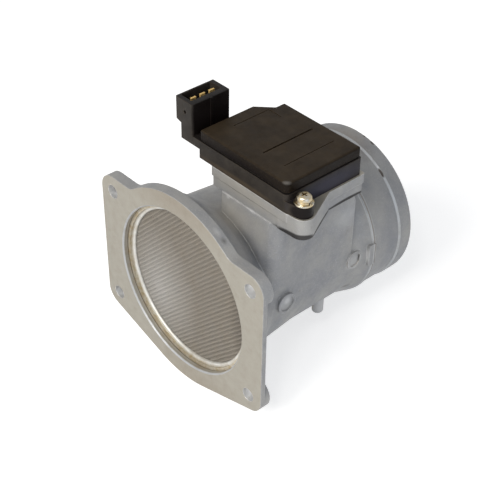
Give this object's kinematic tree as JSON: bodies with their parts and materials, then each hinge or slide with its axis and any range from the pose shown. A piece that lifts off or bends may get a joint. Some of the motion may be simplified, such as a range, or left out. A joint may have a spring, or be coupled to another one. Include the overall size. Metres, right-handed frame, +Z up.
{
  "type": "mass airflow sensor",
  "caption": "Mass airflow sensor: cast aluminium duct with a bolted inlet flange, mesh screen and hose spigot, and a black sensor module with a connector on top.",
  "frame": {"origin": "centre of the inlet flange's front face, on the duct axis", "axes": "+Y along the duct from the inlet flange to the hose spigot, +Z up to the sensor module, +X to the side of the near module screw"},
  "size_m": [0.1174, 0.1192, 0.1409],
  "materials": {
    "cast_housing": "as cast, matte, with machined flange face and rims",
    "screen_wire": "plain drawn wire",
    "bright_ring": "bright",
    "spring_steel": "satin",
    "black_moulding": "matte black",
    "black_cover": "matte black",
    "seal": "matte",
    "terminal": "plated",
    "zinc_steel": "zinc plated with a yellow tint",
    "plate_aluminium": "plain",
    "ceramic": "white ceramic",
    "chip_black": "matte",
    "chip_tan": "satin",
    "probe_moulding": "satin black",
    "element": "glazed resistor"
  },
  "bodies": {
    "root": {"duct_housing": "cast_housing", "inlet_screen": "screen_wire", "screen_frame": "bright_ring", "screen_snap_ring": "spring_steel", "module_base": "black_moulding", "module_cover": "black_cover", "cover_seal": "seal", "module_gasket": "seal", "terminal_pin_1": "terminal", "terminal_pin_2": "terminal", "terminal_pin_3": "terminal", "lead_strips": "terminal", "module_screws": "zinc_steel", "spring_washers": "zinc_steel", "flat_washers": "zinc_steel", "ear_bushes": "zinc_steel", "carrier_plate": "plate_aluminium", "circuit_substrate": "ceramic", "control_chip": "chip_black", "power_transistor": "chip_black", "chip_resistors": "chip_black", "chip_capacitors": "chip_tan", "probe_body": "probe_moulding", "wire_posts": "spring_steel", "hot_wire_element": "element", "cold_wire_element": "element"}
  },
  "joints": []
}
